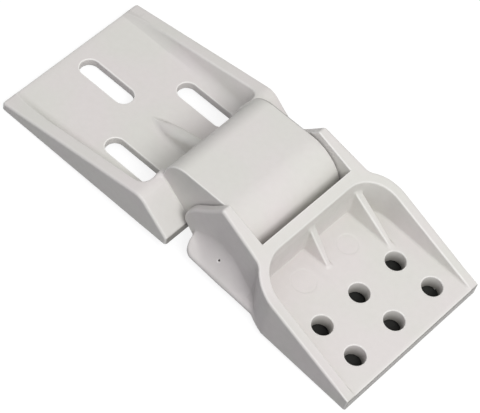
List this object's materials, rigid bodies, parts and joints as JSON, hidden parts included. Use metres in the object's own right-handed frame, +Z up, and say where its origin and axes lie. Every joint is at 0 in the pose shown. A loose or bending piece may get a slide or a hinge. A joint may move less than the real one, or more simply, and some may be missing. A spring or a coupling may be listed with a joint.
{
  "type": "chest freezer lid hinge",
  "caption": "Moulded white lid hinge: slotted plate with a drum, turning on an axle between the ears of a pocketed screw bracket, with a spring-loaded cam inside.",
  "frame": {"origin": "centre of the bounding box at the level of the surface the hinge stands on", "axes": "+X from the slotted lid plate to the six-hole cabinet plate, +Y along the hinge axis, +Z up"},
  "size_m": [0.1406, 0.0586, 0.0283],
  "materials": {
    "moulded_white": "satin off-white moulded plastic, soft edges",
    "natural_acetal": "natural acetal, slightly waxy",
    "zinc_plated_steel": "bright zinc plate",
    "spring_steel": "oiled spring steel"
  },
  "bodies": {
    "cabinet_side": {"cabinet_bracket": "moulded_white", "axle": "zinc_plated_steel", "cam_pin": "zinc_plated_steel", "fixed_cam": "natural_acetal"},
    "lid_side": {"lid_bracket": "moulded_white", "end_plug": "natural_acetal", "retaining_ring": "spring_steel", "bush_left": "natural_acetal", "bush_right": "natural_acetal", "spring_seat": "zinc_plated_steel", "thrust_washer": "zinc_plated_steel", "outer_spring": "spring_steel", "inner_spring": "spring_steel"},
    "cam_follower": {"sliding_cam": "natural_acetal", "spring_washer": "zinc_plated_steel"}
  },
  "joints": [
    {"name": "lid_hinge", "type": "hinge", "parent": "cabinet_side", "child": "lid_side", "pos_m": [0.00918, 0, 0.01198], "axis": [0, 1, 0], "range_deg": [0, 90]},
    {"name": "cam_slide", "type": "slide", "parent": "lid_side", "child": "cam_follower", "axis": [0, 1, 0], "range_m": [0, 0.0022], "deforming": ["outer_spring", "inner_spring"]}
  ],
  "couplings": [
    {"joint": "cam_slide", "follows": "lid_hinge", "m_per_rad": 0.0014}
  ]
}
